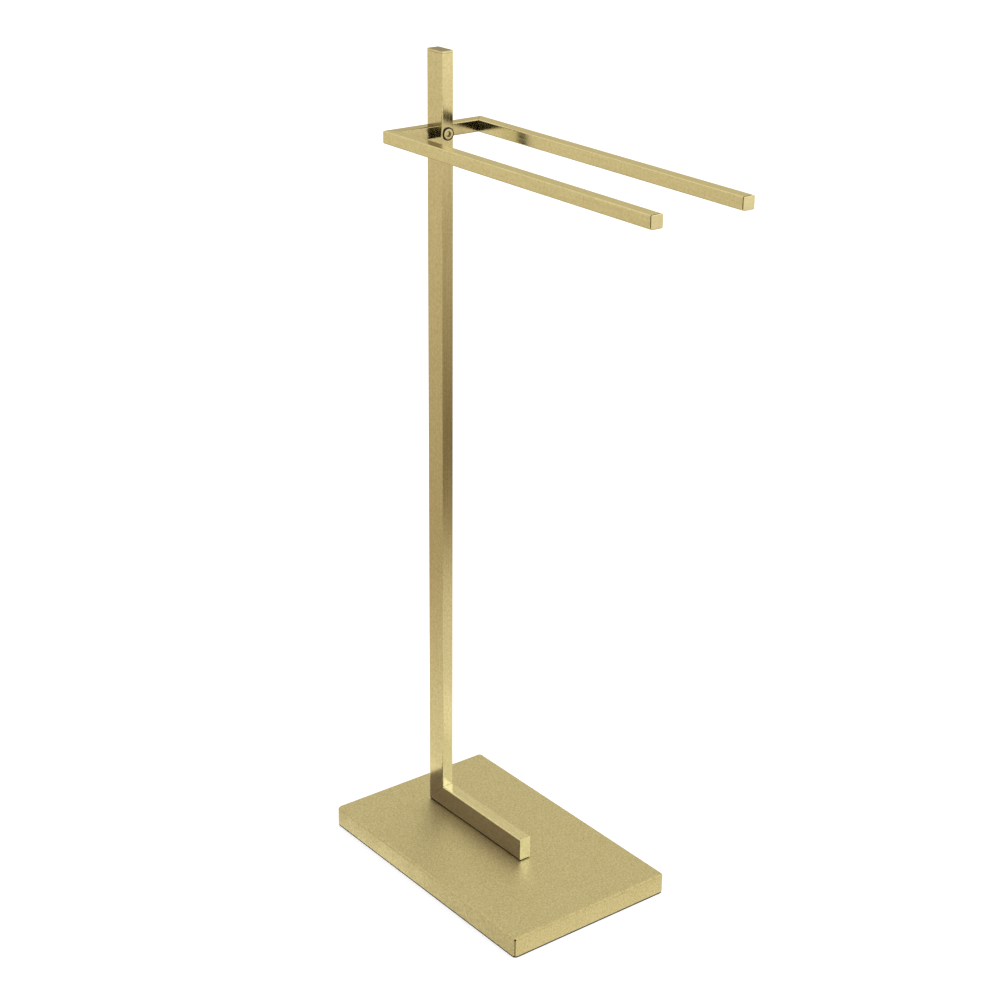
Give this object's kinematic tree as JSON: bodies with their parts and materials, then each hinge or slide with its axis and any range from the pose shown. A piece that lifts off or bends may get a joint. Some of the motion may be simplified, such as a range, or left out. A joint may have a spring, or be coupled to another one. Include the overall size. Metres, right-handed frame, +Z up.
{
  "type": "freestanding towel stand",
  "caption": "Freestanding towel stand: a weighted rectangular base, an offset rectangular column on a bolted foot, and a U-shaped square rail with two open arms.",
  "frame": {"origin": "centre of the base's underside, on the floor", "axes": "+X along the rail's arms towards their free ends, +Y across the stand, to the right seen from the arms' free ends, +Z up"},
  "size_m": [0.437, 0.2, 0.857],
  "materials": {
    "grained_brass": "satin, fine grain",
    "brushed_brass": "brushed lengthwise",
    "turned_brass": "turned, semi-bright",
    "plain_steel": "zinc plated, dull",
    "rubber_pad": "matt"
  },
  "bodies": {
    "root": {"non_slip_pad": "rubber_pad", "bottom_plate": "plain_steel", "bottom_plate_screws": "plain_steel", "bottom_plate_spacers": "plain_steel", "ballast_plate": "plain_steel", "base_cover": "grained_brass", "foot_gasket": "rubber_pad", "foot_tube": "brushed_brass", "foot_nut_block": "plain_steel", "foot_bolts": "plain_steel", "foot_washers": "plain_steel", "foot_end_cap": "brushed_brass", "column_corner_key": "plain_steel", "column_tube": "brushed_brass", "column_top_cap": "brushed_brass", "rail_cross_bar": "brushed_brass", "left_arm_tube": "brushed_brass", "right_arm_tube": "brushed_brass", "left_corner_key": "plain_steel", "right_corner_key": "plain_steel", "left_arm_cap": "brushed_brass", "right_arm_cap": "brushed_brass", "rail_nut_block": "plain_steel", "rail_spacer_sleeve": "plain_steel", "rail_screw_washer": "rubber_pad", "rail_screw": "turned_brass"}
  },
  "joints": []
}
